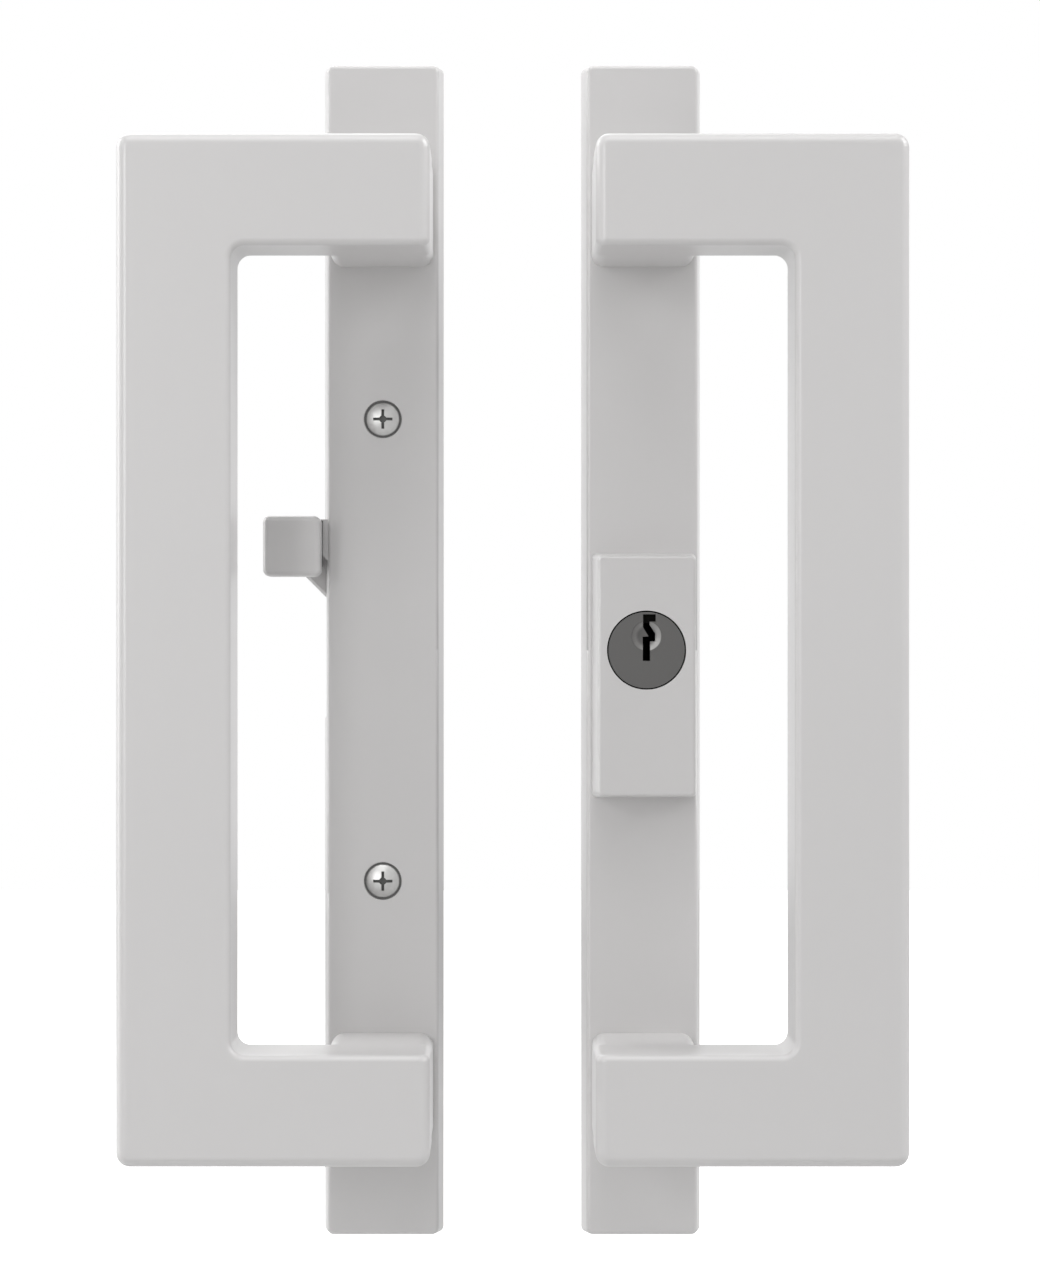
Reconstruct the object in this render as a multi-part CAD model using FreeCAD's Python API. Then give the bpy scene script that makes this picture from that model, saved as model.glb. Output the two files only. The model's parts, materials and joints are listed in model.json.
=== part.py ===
import FreeCAD, Part
import math
import os

from FreeCAD import Vector

# Handle set of a sliding patio door, its two halves side by side: interior left, exterior right.
# Millimetres. +Z runs up the plates, the fronts face -Y and the backs lie on the door face at Y = 0.
# The origin is midway between the interior half's mounting screws, on the door face.
# Each half is drawn about its own plate's centreline with the grip on the +X side (outboard).
# The interior half is then mirrored, and the exterior half is moved across by PLATE_SPACING.

# Escutcheon plates: hollow castings, open at the back
PLATE_LENGTH = 255.0
PLATE_WIDTH = 26.0
PLATE_THICKNESS = 10.0
PLATE_WALL = 2.4
PLATE_DRAFT = 1.0           # each side is this much narrower at the front
PLATE_CORNER = 1.4
PLATE_EDGE = 0.8
PLATE_SPACING = 56.1        # between the two plates' centrelines
RIB_THICKNESS = 1.8
RIB_HEIGHT = 4.0
RIB_PLACES = (37.0, 72.0)   # heights above and below the middle

# Grips: offset D-shaped castings on two posts
GRIP_LENGTH = 211.4
GRIP_REACH = 53.1           # plate centreline to the bar's outer face
GRIP_STANDOFF = 46.0        # plate front to grip front
BAR_WIDTH = 23.5
BAR_DEPTH = 22.0
ARM_HEIGHT = 23.0
GRIP_CORNER = 2.8
GRIP_EDGE = 2.2             # rounding of the outer edges
GRIP_GAP_EDGE = 1.4         # rounding of the edges round the finger gap
POST_INBOARD = 11.1         # plate centreline to the arm's end
POST_OUTBOARD = 11.1        # plate centreline to the post's outer face
POST_SETBACK = 0.2          # the posts stand just inside the arms' faces

# Screws that hold each grip's posts, driven from the back of the plate
GRIP_SCREW_D = 5.9
GRIP_SCREW_GRIP = 14.0      # thread length inside the post
GRIP_SCREW_HEAD_D = 10.0
GRIP_SCREW_HEAD_T = 3.2
GRIP_SCREW_SINK = 1.0       # head's depth below the door face
GRIP_BOSS_WALL = 2.6

# Mounting screws through the door, and the tapped posts that they go into
SCREW_SPACING = 100.0
SCREW_D = 4.8
SCREW_HEAD_D = 7.6
SCREW_HEAD_DOME = 1.0
SCREW_REACH = 34.0          # length behind the door face
COUNTERSINK_D = 8.4
SCREW_BOSS_WALL = 2.1
TAPPED_POST_D = 9.5
TAPPED_POST_REACH = 20.0
TAPPED_POST_HOLE_D = 4.2
TAPPED_POST_HOLE_DEPTH = 16.0
TAPPED_POST_CHAMFER = 0.6
TAPPED_SPIGOT_D = 6.0
TAPPED_SPIGOT_LENGTH = 4.4
TAPPED_SEAT = 2.0           # the post's shoulder is this far inside the plate
TAPPED_BOSS_WALL = 2.8

# Cross recesses in the screw heads
RECESS_SPAN = 0.55          # share of the head's diameter
RECESS_ARM = 0.62
RECESS_CORE_D = 1.6
RECESS_DEPTH = 1.3
PAN_CROWN = 0.8             # bevel round the top of a pan head

# Thumb lever of the interior half
KNOB_NEAR = 13.1            # plate centreline to the knob's near side
KNOB_WIDTH = 12.2
KNOB_BOTTOM = 15.8
KNOB_HEIGHT = 12.9
KNOB_FRONT = 21.0           # front face's height over the door face
KNOB_BACK = 10.3
KNOB_CORNER = 1.4
KNOB_EDGE = 1.2
STEM_INSET = 1.6            # the stem behind the knob stands in from its sides by this much
ARM_LOW = -1.0              # lower and upper edge of the 45 degree arm, over the pivot
ARM_HIGH = 8.4
ARM_FRONT = 5.4
ARM_BACK = 2.4
ARM_BEVEL = 0.6
HUB_D = 16.6
HUB_FRONT = 6.9
HUB_BACK = 2.0
SPIGOT_D = 8.4
SPIGOT_REACH = 3.0          # length behind the door face
NOTCH_CLEAR = 1.0
NOTCH_FRONT = 5.8
PAD_STANDS_OUT = 1.0        # stop pad on the plate's side, over the lever's arm
PAD_FRONT = 9.7
PAD_LOW = 7.4               # its lower edge runs along the arm, this far over the pivot
PAD_TOP = 28.3
PIVOT_BOSS_D = 8.0
PIVOT_BOSS_END = 3.4
BUSH_WALL = 1.25
BUSH_FLANGE_D = 15.0
BUSH_FLANGE_T = 0.5
WASHER_D = 15.0
WASHER_T = 0.5
RETAINER_T = 1.2
RETAINER_SINK = 0.2         # the retaining plate's depth below the door face
RETAINER_WIDTH = 16.0
RETAINER_HEIGHT = 35.0
RETAINER_CORNER = 3.0
RETAINER_SCREW_SPACING = 27.0
RETAINER_SCREW_D = 2.9
RETAINER_SCREW_HEAD_D = 5.0
RETAINER_SCREW_LENGTH = 5.0
RETAINER_BOSS_WALL = 1.7

# Flat tailpieces that turn the door's lock, and their cross pins
TAIL_WIDTH = 6.0
TAIL_T = 1.5
TAIL_REACH = 28.0
TAIL_PIN_D = 1.5
LEVER_TAIL_START = 3.0      # depth of the tail's front end inside the lever's hub

# Lock cover of the exterior half
LOCK_OFFSET = 0.4           # key axis outboard of the plate's centreline
COVER_WIDTH = 22.5
COVER_ABOVE = 20.9          # key axis to the top and bottom edges
COVER_BELOW = 31.9
COVER_HEIGHT = 16.0
COVER_DRAFT = 0.85
COVER_WALL = 1.8
COVER_FRONT_WALL = 2.2
COVER_CORNER = 1.1
COVER_EDGE = 0.7
COVER_SCREW_ABOVE = 15.5
COVER_SCREW_BELOW = 27.0
COVER_SCREW_D = 3.3
COVER_SCREW_HEAD_D = 6.6
COVER_SCREW_HEAD_T = 2.2
COVER_SCREW_GRIP = 8.0
COVER_BOSS_WALL = 1.7

# Pin tumbler cylinder behind the cover
PLUG_HEAD_D = 16.2
PLUG_HEAD_SINK = 0.15
PLUG_D = 11.5
PLUG_REACH = 2.0
CYLINDER_D = 16.8
CYLINDER_NOSE_D = 14.8
CYLINDER_NOSE_END = 4.0
LUG_WIDTH = 9.0
LUG_TOP = 10.5
PIN_HOUSING_WIDTH = 7.0
PIN_HOUSING_DEPTH = 19.0    # key axis to the pin housing's lower face
PIN_D = 2.0
PIN_COUNT = 5
PIN_PITCH = 2.6
PIN_FIRST = 1.7             # cylinder front to the first pin
KEY_PIN_LENGTH = 3.1
DRIVER_PIN_LENGTH = 5.4
SPRING_WALL = 0.3
STRIP_WIDTH = 4.0
STRIP_T = 1.0
CLIP_D = 13.6
CLIP_T = 0.8
CLIP_GROOVE = 0.5
CLIP_MOUTH = 4.5
KEYWAY_END = 8.0            # the keyway's blind end, in front of the door face
DISH_D = 6.4
DISH_DEPTH = 0.9
DISH_ABOVE = 3.0

# Clearances
RUNNING = 0.05              # a shaft in its bearing, on the radius
SEATED = 0.02               # a fixed piece in its seat, on the radius
FREE = 0.3                  # moving faces that don't bear on each other
THREAD = 0.05               # a screw in its tapped hole, on the radius
THROUGH = 0.3               # a screw in its clearance hole, on the radius

# Levels along Y, worked out from the sizes above
PLATE_FRONT_Y = -PLATE_THICKNESS
PLATE_INNER_Y = PLATE_FRONT_Y + PLATE_WALL
GRIP_FRONT_Y = PLATE_FRONT_Y - GRIP_STANDOFF
GRIP_BACK_Y = GRIP_FRONT_Y + BAR_DEPTH
GRIP_SEAT_Y = -GRIP_SCREW_SINK - GRIP_SCREW_HEAD_T
RETAINER_BACK_Y = -RETAINER_SINK
RETAINER_FRONT_Y = RETAINER_BACK_Y - RETAINER_T
COVER_FRONT_Y = PLATE_FRONT_Y - COVER_HEIGHT
COVER_INNER_Y = COVER_FRONT_Y + COVER_FRONT_WALL
PLUG_FACE_Y = COVER_FRONT_Y + PLUG_HEAD_SINK
PLUG_SHOULDER_Y = COVER_INNER_Y - FREE / 2
CLIP_FRONT_Y = -CYLINDER_NOSE_END + FREE
CLIP_BACK_Y = CLIP_FRONT_Y + CLIP_T

# Places and radii shared by several pieces
POST_Z = (GRIP_LENGTH - ARM_HEIGHT) / 2
SCREW_Z = SCREW_SPACING / 2
STEM_NEAR = PLATE_WIDTH / 2 + PAD_STANDS_OUT + FREE
RETAINER_SCREW_Z = RETAINER_SCREW_SPACING / 2
COVER_SCREW_PLACES = (COVER_SCREW_ABOVE, -COVER_SCREW_BELOW)
BUSH_R = PIVOT_BOSS_D / 2 + SEATED + BUSH_WALL
PLUG_R = PLUG_D / 2
PIN_PLACES = [COVER_INNER_Y + PIN_FIRST + i * PIN_PITCH for i in range(PIN_COUNT)]
SHEAR_GAP = 0.2             # flat pin ends stay this far inside and outside the round shear line


def box(x0, x1, y0, y1, z0, z1):
    """A block between two corners."""
    return Part.makeBox(x1 - x0, y1 - y0, z1 - z0, Vector(x0, y0, z0))


def rod(x, z, diameter, y0, y1):
    """A round bar along Y."""
    return Part.makeCylinder(diameter / 2, y1 - y0, Vector(x, y0, z), Vector(0, 1, 0))


def post(x, y, diameter, z0, z1):
    """A round bar along Z."""
    return Part.makeCylinder(diameter / 2, z1 - z0, Vector(x, y, z0), Vector(0, 0, 1))


def ring(x, z, outer, inner, y0, y1):
    """A round tube along Y."""
    return rod(x, z, outer, y0, y1).cut(rod(x, z, inner, y0, y1))


def outline(corners, y):
    """A closed wire at the level y through corners (x, z, radius), each rounded by its radius."""
    points = [Vector(x, y, z) for x, z, radius in corners]
    edges = []
    ends = []
    for i, (x, z, radius) in enumerate(corners):
        corner = points[i]
        back = (points[i - 1] - corner).normalize()
        ahead = (points[(i + 1) % len(points)] - corner).normalize()
        if radius == 0:
            ends.append((corner, corner))
            continue
        half = back.getAngle(ahead) / 2
        start = corner + back * (radius / math.tan(half))
        end = corner + ahead * (radius / math.tan(half))
        centre = corner + (back + ahead).normalize() * (radius / math.sin(half))
        middle = centre + (corner - centre).normalize() * radius
        edges.append(Part.Arc(start, middle, end).toShape())
        ends.append((start, end))
    for i, (start, end) in enumerate(ends):
        edges.append(Part.LineSegment(end, ends[(i + 1) % len(ends)][0]).toShape())
    return Part.Wire(Part.__sortEdges__(edges))


def rectangle(x0, x1, z0, z1, radius):
    """The corners of a rectangle with round corners, for outline()."""
    return [(x0, z0, radius), (x1, z0, radius), (x1, z1, radius), (x0, z1, radius)]


def prism(corners, y0, y1):
    """An outline carried straight from one level to another."""
    return Part.Face(outline(corners, y0)).extrude(Vector(0, y1 - y0, 0))


def drafted(x0, x1, z0, z1, radius, draft, y_back, y_front):
    """A rectangular block with round corners, narrower by the draft on each side at its front."""
    base = outline(rectangle(x0, x1, z0, z1, radius), y_back)
    face = outline(rectangle(x0 + draft, x1 - draft, z0 + draft, z1 - draft, radius), y_front)
    return Part.makeLoft([base, face], True, True)


def edges_at(shape, y):
    """The edges that lie in the plane at y."""
    return [edge for edge in shape.Edges
            if abs(edge.BoundBox.YMin - y) < 1e-4 and abs(edge.BoundBox.YMax - y) < 1e-4]


def border(faces):
    """The edges that only one of the faces has."""
    edges = [edge for face in faces for edge in face.Edges]
    return [edge for edge in edges if sum(edge.isSame(other) for other in edges) == 1]


def fused(first, others):
    """One solid from several, with the seams between flush faces removed."""
    return first.multiFuse(others).removeSplitter()


def turned(profile):
    """A solid of revolution about Y from (radius, y) points."""
    points = [Vector(radius, y, 0) for radius, y in profile]
    face = Part.Face(Part.makePolygon(points + points[:1]))
    return face.revolve(Vector(0, 0, 0), Vector(0, 1, 0), 360)


def cross_recess(head_d, y_face, direction):
    """The cross in a screw head, sunk from the level y_face towards direction along Y."""
    half = head_d * RECESS_SPAN / 2
    y0, y1 = sorted((y_face - direction * RECESS_DEPTH, y_face + direction * RECESS_DEPTH))
    upright = box(-RECESS_ARM / 2, RECESS_ARM / 2, y0, y1, -half, half)
    level = box(-half, half, y0, y1, -RECESS_ARM / 2, RECESS_ARM / 2)
    core = rod(0, 0, RECESS_CORE_D, y0, y1)
    return upright.multiFuse([level, core])


def moved(shape, x, z):
    """A copy moved across the plate."""
    copy = shape.copy()
    copy.translate(Vector(x, 0, z))
    return copy


def plate():
    """The hollow plate that both halves share: walls, cross ribs and the grip's screw bosses."""
    half_w = PLATE_WIDTH / 2
    half_l = PLATE_LENGTH / 2
    shell = drafted(-half_w, half_w, -half_l, half_l, PLATE_CORNER, PLATE_DRAFT, 0, PLATE_FRONT_Y)
    shell = shell.makeFillet(PLATE_EDGE, edges_at(shell, PLATE_FRONT_Y))
    in_w = half_w - PLATE_WALL
    in_l = half_l - PLATE_WALL
    shell = shell.cut(drafted(-in_w, in_w, -in_l, in_l, PLATE_CORNER, PLATE_DRAFT, 0, PLATE_INNER_Y))
    rib_end_y = PLATE_INNER_Y + RIB_HEIGHT
    pieces = []
    for height in RIB_PLACES:
        for z in (height, -height):
            z0 = z - RIB_THICKNESS / 2
            pieces.append(box(-in_w, in_w, PLATE_INNER_Y, rib_end_y, z0, z0 + RIB_THICKNESS))
    hole = GRIP_SCREW_D + 2 * THROUGH
    for z in (POST_Z, -POST_Z):
        pieces.append(rod(0, z, hole + 2 * GRIP_BOSS_WALL, PLATE_INNER_Y, GRIP_SEAT_Y))
    shell = fused(shell, pieces)
    return shell.cut([rod(0, z, hole, PLATE_FRONT_Y, GRIP_SEAT_Y) for z in (POST_Z, -POST_Z)])


def interior_plate():
    """The plate with countersunk screw bosses, the lever's pivot, its notch and its stop pad."""
    hole = SCREW_D + 2 * THROUGH
    bosses = [rod(0, z, hole + 2 * SCREW_BOSS_WALL, PLATE_INNER_Y, 0) for z in (SCREW_Z, -SCREW_Z)]
    bosses.append(rod(0, 0, PIVOT_BOSS_D, PLATE_INNER_Y, -PIVOT_BOSS_END))
    boss_d = RETAINER_SCREW_D + 2 * THREAD + 2 * RETAINER_BOSS_WALL
    for z in (RETAINER_SCREW_Z, -RETAINER_SCREW_Z):
        bosses.append(rod(0, z, boss_d, PLATE_INNER_Y, RETAINER_FRONT_Y))
    bosses.append(stop_pad())
    cuts = [lever_notch()]
    sink = (COUNTERSINK_D - hole) / 2
    for z in (SCREW_Z, -SCREW_Z):
        cuts.append(rod(0, z, hole, PLATE_FRONT_Y, 0))
        cuts.append(Part.makeCone(COUNTERSINK_D / 2, hole / 2, sink,
                                  Vector(0, PLATE_FRONT_Y, z), Vector(0, 1, 0)))
    for z in (RETAINER_SCREW_Z, -RETAINER_SCREW_Z):
        end_y = RETAINER_BACK_Y - RETAINER_SCREW_LENGTH - FREE
        cuts.append(rod(0, z, RETAINER_SCREW_D + 2 * THREAD, end_y, RETAINER_FRONT_Y))
    return fused(plate(), bosses).cut(cuts)


def lever_notch():
    """The opening in the plate's outer side that the lever's arm swings through, cut along its edges."""
    near = PLATE_WIDTH / 2 - PLATE_WALL - PLATE_DRAFT - PLATE_EDGE
    far = PLATE_WIDTH / 2 + 2 * PAD_STANDS_OUT
    low = ARM_LOW - NOTCH_CLEAR
    high = ARM_HIGH + NOTCH_CLEAR
    corners = [(near, low - near, 0), (far, low - far, 0), (far, far + high, 0), (near, near + high, 0)]
    return prism(corners, -NOTCH_FRONT, 0)


def stop_pad():
    """The pad on the plate's side that the knob's stem stops against, in front of the arm."""
    near = PLATE_WIDTH / 2 - PLATE_WALL
    far = PLATE_WIDTH / 2 + PAD_STANDS_OUT
    corners = [(near, near + PAD_LOW, 0), (far, far + PAD_LOW, 0), (far, PAD_TOP, 0), (near, PAD_TOP, 0)]
    return prism(corners, -PAD_FRONT, -NOTCH_FRONT)


def grip():
    """The offset D-shaped casting: bar, arms and posts, with a tapped hole in each post."""
    top = GRIP_LENGTH / 2
    under = top - ARM_HEIGHT
    bar_inner = GRIP_REACH - BAR_WIDTH
    body = prism(rectangle(-POST_INBOARD, GRIP_REACH, -top, top, GRIP_CORNER), GRIP_FRONT_Y, GRIP_BACK_Y)
    body = body.makeFillet(GRIP_EDGE, edges_at(body, GRIP_FRONT_Y) + edges_at(body, GRIP_BACK_Y))
    open_end = -POST_INBOARD - BAR_WIDTH
    gap = prism([(open_end, under, 0), (open_end, -under, 0), (bar_inner, -under, GRIP_CORNER),
                 (bar_inner, under, GRIP_CORNER)], GRIP_FRONT_Y, GRIP_BACK_Y)
    body = body.cut(gap)
    gap_faces = [face for face in body.Faces
                 if face.BoundBox.XMax < bar_inner + 1e-4 and abs(face.CenterOfMass.z) < under + 1e-4]
    body = body.makeFillet(GRIP_GAP_EDGE, border(gap_faces))
    posts = []
    holes = []
    hole_end_y = PLATE_FRONT_Y - GRIP_SCREW_GRIP - 2 * FREE
    for z in (POST_Z, -POST_Z):
        half = ARM_HEIGHT / 2 - POST_SETBACK
        foot = rectangle(POST_SETBACK - POST_INBOARD, POST_OUTBOARD, z - half, z + half, GRIP_CORNER)
        posts.append(prism(foot, GRIP_BACK_Y - BAR_DEPTH / 2, PLATE_FRONT_Y))
        holes.append(rod(0, z, GRIP_SCREW_D + 2 * THREAD, hole_end_y, PLATE_FRONT_Y))
    return fused(body, posts).cut(holes)


def grip_screws():
    """Pan head screws that hold the posts, one for each."""
    tip_y = PLATE_FRONT_Y - GRIP_SCREW_GRIP
    top_y = GRIP_SEAT_Y + GRIP_SCREW_HEAD_T
    head_r = GRIP_SCREW_HEAD_D / 2
    screw = turned([(0, tip_y), (GRIP_SCREW_D / 2, tip_y), (GRIP_SCREW_D / 2, GRIP_SEAT_Y),
                    (head_r, GRIP_SEAT_Y), (head_r, top_y - PAN_CROWN), (head_r - PAN_CROWN, top_y),
                    (0, top_y)])
    screw = screw.cut(cross_recess(GRIP_SCREW_HEAD_D, top_y, -1))
    return Part.makeCompound([moved(screw, 0, z) for z in (POST_Z, -POST_Z)])


def mounting_screws():
    """Oval head screws that go through the door, seated in the plate's countersinks."""
    rim_r = SCREW_HEAD_D / 2
    shank_r = SCREW_D / 2
    rim_y = PLATE_FRONT_Y + (COUNTERSINK_D - SCREW_HEAD_D) / 2 - SEATED
    dome_r = (rim_r ** 2 + SCREW_HEAD_DOME ** 2) / (2 * SCREW_HEAD_DOME)
    top_y = rim_y - SCREW_HEAD_DOME
    stem = turned([(0, rim_y), (rim_r, rim_y), (shank_r, rim_y + rim_r - shank_r),
                   (shank_r, SCREW_REACH), (0, SCREW_REACH)])
    dome = Part.makeSphere(dome_r, Vector(0, top_y + dome_r, 0))
    dome = dome.common(rod(0, 0, SCREW_HEAD_D, top_y, rim_y))
    screw = stem.fuse(dome).cut(cross_recess(SCREW_HEAD_D, top_y, 1))
    return Part.makeCompound([moved(screw, 0, z) for z in (SCREW_Z, -SCREW_Z)])


def thumb_lever():
    """The lever casting: hub with spigot, 45 degree arm, and a square knob on a stem."""
    hub = rod(0, 0, HUB_D, -HUB_FRONT, -HUB_BACK)
    spigot = rod(0, 0, SPIGOT_D, -HUB_BACK, SPIGOT_REACH)
    reach = KNOB_NEAR + KNOB_WIDTH / 2
    arm = prism([(ARM_LOW, 2 * ARM_LOW, 0), (reach, reach + ARM_LOW, 0),
                 (reach, reach + ARM_HIGH, 0), (0, ARM_HIGH, 0)], -ARM_FRONT, -ARM_BACK)
    low_edge = [edge for edge in edges_at(arm, -ARM_FRONT)
                if all(abs(v.Z - v.X - ARM_LOW) < 1e-4 for v in edge.Vertexes)]
    arm = arm.makeChamfer(ARM_BEVEL, low_edge)
    knob = prism(rectangle(KNOB_NEAR, KNOB_NEAR + KNOB_WIDTH, KNOB_BOTTOM, KNOB_BOTTOM + KNOB_HEIGHT,
                           KNOB_CORNER), -KNOB_FRONT, -KNOB_BACK)
    knob = knob.makeFillet(KNOB_EDGE, edges_at(knob, -KNOB_FRONT) + edges_at(knob, -KNOB_BACK))
    stem = box(STEM_NEAR, KNOB_NEAR + KNOB_WIDTH - STEM_INSET, (-KNOB_FRONT - KNOB_BACK) / 2, -ARM_BACK,
               KNOB_BOTTOM + STEM_INSET, KNOB_BOTTOM + KNOB_HEIGHT - STEM_INSET)
    lever = fused(hub, [spigot, arm, knob, stem])
    floor_y = -PIVOT_BOSS_END + FREE
    cuts = [rod(0, 0, 2 * (BUSH_R + RUNNING), -HUB_FRONT, floor_y), tail(SEATED, floor_y, SPIGOT_REACH),
            tail_pin(SPIGOT_D, SEATED, SPIGOT_REACH / 2)]
    return lever.cut(cuts)


def tail(clearance, y0, y1):
    """A flat bar along Y, standing upright on the turning axis."""
    half_t = TAIL_T / 2 + clearance
    half_w = TAIL_WIDTH / 2 + clearance
    return box(-half_t, half_t, y0, y1, -half_w, half_w)


def tail_pin(length, clearance, y):
    """The cross pin through a tail, along X."""
    radius = TAIL_PIN_D / 2 + clearance
    return Part.makeCylinder(radius, length, Vector(-length / 2, y, 0), Vector(1, 0, 0))


def lever_tailpiece():
    """The flat steel bar from the lever's hub into the door."""
    bar = tail(0, -LEVER_TAIL_START, TAIL_REACH)
    return bar.cut(tail_pin(SPIGOT_D, SEATED, SPIGOT_REACH / 2))


def lever_tail_pin():
    """The pin that ties the lever's tail to its spigot."""
    return tail_pin(SPIGOT_D - 2 * FREE, 0, SPIGOT_REACH / 2)


def lever_bush():
    """The flanged nylon bush on the plate's pivot boss."""
    inner = PIVOT_BOSS_D + 2 * SEATED
    flange_end_y = PLATE_INNER_Y + BUSH_FLANGE_T
    flange = ring(0, 0, BUSH_FLANGE_D, inner, PLATE_INNER_Y, flange_end_y)
    return fused(flange, [ring(0, 0, 2 * BUSH_R, inner, PLATE_INNER_Y, -PIVOT_BOSS_END)])


def lever_washer():
    """The friction washer between the hub and the retaining plate."""
    return ring(0, 0, WASHER_D, SPIGOT_D + 2 * FREE, RETAINER_FRONT_Y - WASHER_T, RETAINER_FRONT_Y)


def lever_retainer():
    """The steel plate that keeps the lever in, with a hole for its spigot."""
    half_w = RETAINER_WIDTH / 2
    half_h = RETAINER_HEIGHT / 2
    sheet = prism(rectangle(-half_w, half_w, -half_h, half_h, RETAINER_CORNER),
                  RETAINER_FRONT_Y, RETAINER_BACK_Y)
    cuts = [rod(0, 0, SPIGOT_D + 2 * FREE, RETAINER_FRONT_Y, RETAINER_BACK_Y)]
    hole_r = RETAINER_SCREW_D / 2 + THREAD
    head_r = RETAINER_SCREW_HEAD_D / 2 + SEATED
    for z in (RETAINER_SCREW_Z, -RETAINER_SCREW_Z):
        cuts.append(rod(0, z, 2 * hole_r, RETAINER_FRONT_Y, RETAINER_BACK_Y))
        cuts.append(Part.makeCone(hole_r, head_r, head_r - hole_r,
                                  Vector(0, RETAINER_BACK_Y - head_r + hole_r, z), Vector(0, 1, 0)))
    return sheet.cut(cuts)


def lever_retainer_screws():
    """Flat head screws that hold the retaining plate on its bosses."""
    head_r = RETAINER_SCREW_HEAD_D / 2
    shank_r = RETAINER_SCREW_D / 2
    tip_y = RETAINER_BACK_Y - RETAINER_SCREW_LENGTH
    screw = turned([(0, tip_y), (shank_r, tip_y), (shank_r, RETAINER_BACK_Y - head_r + shank_r),
                    (head_r, RETAINER_BACK_Y), (0, RETAINER_BACK_Y)])
    screw = screw.cut(cross_recess(RETAINER_SCREW_HEAD_D, RETAINER_BACK_Y, -1))
    return Part.makeCompound([moved(screw, 0, z) for z in (RETAINER_SCREW_Z, -RETAINER_SCREW_Z)])


def exterior_plate():
    """The plate with seats for the tapped posts and holes for the lock."""
    seat_hole = TAPPED_SPIGOT_D + 2 * SEATED
    bosses = [rod(0, z, seat_hole + 2 * TAPPED_BOSS_WALL, PLATE_INNER_Y, -TAPPED_SEAT)
              for z in (SCREW_Z, -SCREW_Z)]
    cuts = [rod(0, z, seat_hole, -TAPPED_SEAT - TAPPED_SPIGOT_LENGTH - SEATED, -TAPPED_SEAT)
            for z in (SCREW_Z, -SCREW_Z)]
    cuts.append(rod(LOCK_OFFSET, 0, CYLINDER_NOSE_D + 2 * SEATED, PLATE_FRONT_Y, 0))
    for z in COVER_SCREW_PLACES:
        cuts.append(rod(LOCK_OFFSET, z, COVER_SCREW_D + 2 * THROUGH, PLATE_FRONT_Y, 0))
    return fused(plate(), bosses).cut(cuts)


def tapped_posts():
    """The posts that receive the mounting screws, riveted into the exterior plate by their spigots."""
    radius = TAPPED_POST_D / 2
    spigot_r = TAPPED_SPIGOT_D / 2
    spigot_y = -TAPPED_SEAT - TAPPED_SPIGOT_LENGTH
    shape = turned([(0, spigot_y), (spigot_r, spigot_y), (spigot_r, -TAPPED_SEAT), (radius, -TAPPED_SEAT),
                    (radius, TAPPED_POST_REACH - TAPPED_POST_CHAMFER),
                    (radius - TAPPED_POST_CHAMFER, TAPPED_POST_REACH), (0, TAPPED_POST_REACH)])
    hole_y = TAPPED_POST_REACH - TAPPED_POST_HOLE_DEPTH
    shape = shape.cut(rod(0, 0, TAPPED_POST_HOLE_D, hole_y, TAPPED_POST_REACH))
    return Part.makeCompound([moved(shape, 0, z) for z in (SCREW_Z, -SCREW_Z)])


def lock_cover():
    """The hollow block over the key cylinder, with a round window for the plug's head."""
    half_w = COVER_WIDTH / 2
    shell = drafted(-half_w, half_w, -COVER_BELOW, COVER_ABOVE, COVER_CORNER, COVER_DRAFT,
                    PLATE_FRONT_Y, COVER_FRONT_Y)
    shell = shell.makeFillet(COVER_EDGE, edges_at(shell, COVER_FRONT_Y))
    in_w = half_w - COVER_WALL
    shell = shell.cut(drafted(-in_w, in_w, COVER_WALL - COVER_BELOW, COVER_ABOVE - COVER_WALL, COVER_CORNER,
                              COVER_DRAFT, PLATE_FRONT_Y, COVER_INNER_Y))
    hole = COVER_SCREW_D + 2 * THREAD
    bosses = [rod(0, z, hole + 2 * COVER_BOSS_WALL, COVER_INNER_Y, PLATE_FRONT_Y)
              for z in COVER_SCREW_PLACES]
    cuts = [rod(0, z, hole, PLATE_FRONT_Y - COVER_SCREW_GRIP - FREE, PLATE_FRONT_Y)
            for z in COVER_SCREW_PLACES]
    cuts.append(rod(0, 0, PLUG_HEAD_D + 2 * FREE, COVER_FRONT_Y, COVER_INNER_Y))
    return fused(shell, bosses).cut(cuts)


def lock_cover_screws():
    """Screws from behind the plate that hold the lock cover."""
    head_y = PLATE_INNER_Y + COVER_SCREW_HEAD_T
    tip_y = PLATE_FRONT_Y - COVER_SCREW_GRIP
    head_r = COVER_SCREW_HEAD_D / 2
    screw = turned([(0, tip_y), (COVER_SCREW_D / 2, tip_y), (COVER_SCREW_D / 2, PLATE_INNER_Y),
                    (head_r, PLATE_INNER_Y), (head_r, head_y - PAN_CROWN), (head_r - PAN_CROWN, head_y),
                    (0, head_y)])
    screw = screw.cut(cross_recess(COVER_SCREW_HEAD_D, head_y, -1))
    return Part.makeCompound([moved(screw, 0, z) for z in COVER_SCREW_PLACES])


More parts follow.
